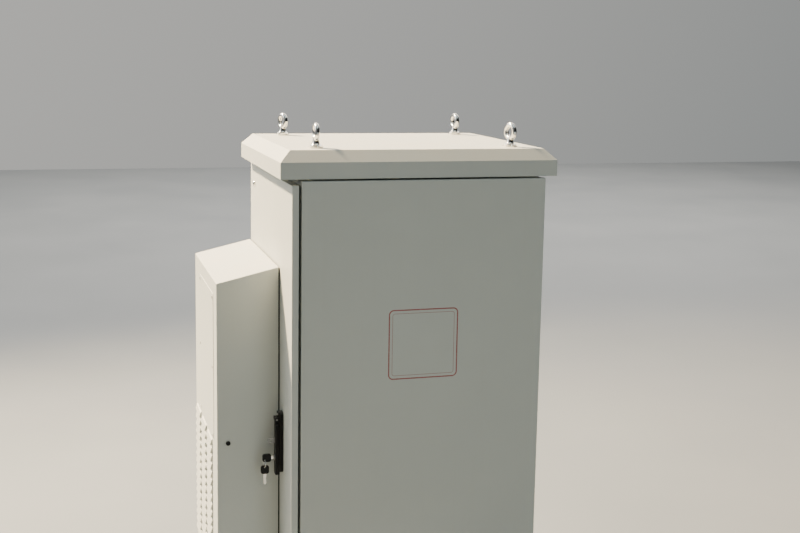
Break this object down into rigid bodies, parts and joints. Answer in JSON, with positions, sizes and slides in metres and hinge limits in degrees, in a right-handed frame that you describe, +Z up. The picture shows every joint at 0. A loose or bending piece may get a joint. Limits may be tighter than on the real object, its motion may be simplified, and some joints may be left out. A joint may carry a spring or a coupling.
{
  "type": "roadside utility cabinet",
  "caption": "Tall sheet-metal roadside cabinet on a plinth, with a hinged front door carrying a louvred cooling unit, swing handle lock, rack rails and lifting eyes.",
  "frame": {"origin": "on the floor at the centre of the four anchor holes", "axes": "+Z up; the door faces -Y, its hinges are at -X and its handle at +X"},
  "size_m": [0.6502, 0.8879, 1.8309],
  "materials": {
    "paint": "fine textured powder coat, light grey",
    "frame_paint": "powder coat, light grey",
    "zinc": "zinc plated",
    "chrome": "bright plated",
    "handle_black": "black powder coat on a zinc casting",
    "lock_steel": "plated",
    "black_plastic": "moulded",
    "stud": "domed head",
    "gasket": "foamed",
    "compressor_black": "gloss",
    "coil": "finned",
    "motor": "satin",
    "copper": "drawn copper bar",
    "insulator": "moulded"
  },
  "bodies": {
    "cabinet": {"base_pan": "frame_paint", "cable_glands": "black_plastic", "ceiling_plate": "frame_paint", "door_head": "frame_paint", "door_jambs": "frame_paint", "door_sill": "frame_paint", "earth_bar": "copper", "earth_bar_posts": "insulator", "eyebolt_washers": "chrome", "front_posts": "frame_paint", "gland_plate": "zinc", "hinge_brackets": "zinc", "hinge_pins": "chrome", "lifting_blocks": "frame_paint", "lifting_eyebolts": "chrome", "plinth_bolts": "zinc", "plinth_ends": "frame_paint", "plinth_feet": "frame_paint", "plinth_sides": "frame_paint", "rack_rails": "zinc", "rail_brackets": "zinc", "rear_panel": "paint", "rear_posts": "frame_paint", "rod_keepers": "zinc", "roof_cover": "paint", "side_panel_left": "paint", "side_panel_right": "paint", "top_rails": "frame_paint"},
    "door": {"door_panel": "paint", "door_gasket": "gasket", "hinge_leaves": "zinc", "rod_guides": "zinc", "door_stud": "stud", "handle_base": "handle_black", "ac_housing": "paint", "ac_seal": "gasket", "ac_service_cover": "paint", "ac_cover_screws": "chrome", "ac_side_plugs": "black_plastic", "ac_divider": "zinc", "ac_inner_cover": "paint", "condenser_coil": "coil", "evaporator_coil": "coil", "compressor": "compressor_black", "fan_shrouds": "zinc", "fan_motors": "motor"},
    "spindle": {"lock_spindle": "handle_black", "lever_pin": "lock_steel"},
    "lever": {"handle_lever": "handle_black", "padlock_eye": "lock_steel"},
    "key": {"lock_barrel": "lock_steel", "key_blade": "chrome", "key_bow": "black_plastic"},
    "spare_key": {"key_ring": "chrome", "spare_key_bow": "black_plastic", "spare_key_blade": "chrome"},
    "upper_rod": {"upper_rod": "zinc"},
    "lower_rod": {"lower_rod": "zinc"},
    "condenser_fan": {"condenser_fan": "black_plastic"},
    "blower_wheel": {"blower_wheel": "black_plastic"}
  },
  "joints": [
    {"name": "door_hinge", "type": "hinge", "parent": "cabinet", "child": "door", "pos_m": [-0.319, -0.33925, 0.885], "axis": [0, 0, -1], "range_deg": [0, 110]},
    {"name": "spindle_turn", "type": "hinge", "parent": "door", "child": "spindle", "pos_m": [0.198, -0.35225, 1.043], "axis": [0, -1, 0], "range_deg": [0, 90]},
    {"name": "lever_tilt", "type": "hinge", "parent": "spindle", "child": "lever", "pos_m": [0.198, -0.36925, 1.043], "axis": [-1, 0, 0], "range_deg": [0, 70]},
    {"name": "key_turn", "type": "hinge", "parent": "lever", "child": "key", "pos_m": [0.198, -0.37275, 0.9365], "axis": [0, -1, 0], "range_deg": [0, 90]},
    {"name": "key_ring_swing", "type": "hinge", "parent": "key", "child": "spare_key", "pos_m": [0.198, -0.39925, 0.93], "axis": [1, 0, 0], "range_deg": [-30, 8]},
    {"name": "upper_rod_slide", "type": "slide", "parent": "door", "child": "upper_rod", "axis": [0, 0, 1], "range_m": [-0.02, 0]},
    {"name": "lower_rod_slide", "type": "slide", "parent": "door", "child": "lower_rod", "axis": [0, 0, 1], "range_m": [0, 0.02]},
    {"name": "condenser_fan_spin", "type": "hinge", "parent": "door", "child": "condenser_fan", "pos_m": [-0.0825, -0.47225, 0.742], "axis": [0, -1, 0], "continuous": true},
    {"name": "blower_spin", "type": "hinge", "parent": "door", "child": "blower_wheel", "pos_m": [-0.15, -0.48225, 1.285], "axis": [0, -1, 0], "continuous": true}
  ],
  "couplings": [
    {"joint": "upper_rod_slide", "follows": "spindle_turn", "m_per_rad": -0.0127},
    {"joint": "lower_rod_slide", "follows": "spindle_turn", "m_per_rad": 0.0127}
  ]
}
